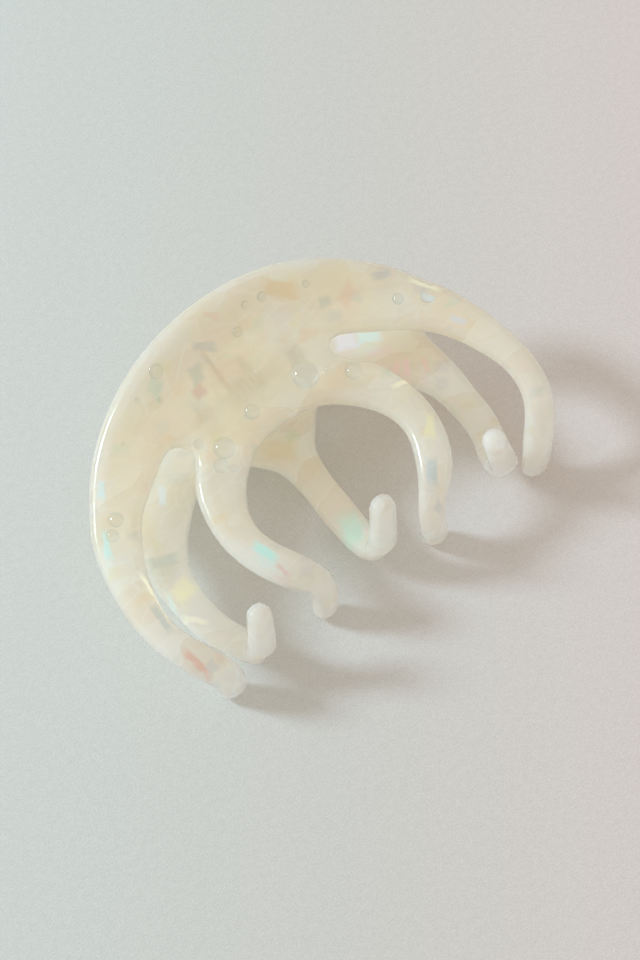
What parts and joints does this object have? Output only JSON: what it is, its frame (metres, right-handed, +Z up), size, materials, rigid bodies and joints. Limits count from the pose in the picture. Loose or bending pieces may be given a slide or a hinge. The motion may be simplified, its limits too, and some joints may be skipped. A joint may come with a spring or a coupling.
{
  "type": "octopus hair clip",
  "caption": "Sprung claw clip with two bent, toothed jaws and crescent grips, which bites and holds hair.",
  "frame": {"origin": "on the surface that the closed clip lies on, under the middle of its box", "axes": "+X along the row of teeth, +Y from the teeth back to the grips, +Z up from the surface"},
  "size_m": [0.0958, 0.0627, 0.0356],
  "materials": {
    "upper_sheet": "polished pearl acetate",
    "lower_sheet": "polished pearl acetate",
    "pin_steel": "plated",
    "spring_steel": "drawn wire",
    "clear_drops": "clear"
  },
  "bodies": {
    "lower_jaw": {"three_tooth_jaw": "lower_sheet", "hinge_pin": "pin_steel", "spring": "spring_steel"},
    "upper_jaw": {"four_tooth_jaw": "upper_sheet", "dew_drops": "clear_drops"}
  },
  "joints": [
    {"name": "jaw_hinge", "type": "hinge", "parent": "lower_jaw", "child": "upper_jaw", "pos_m": [0, 0.01457, 0.01678], "axis": [-1, 0, 0], "range_deg": [0, 80], "stiffness_Nm_per_rad": 0.1, "springref_deg": -28.65, "deforming": ["spring"]}
  ]
}
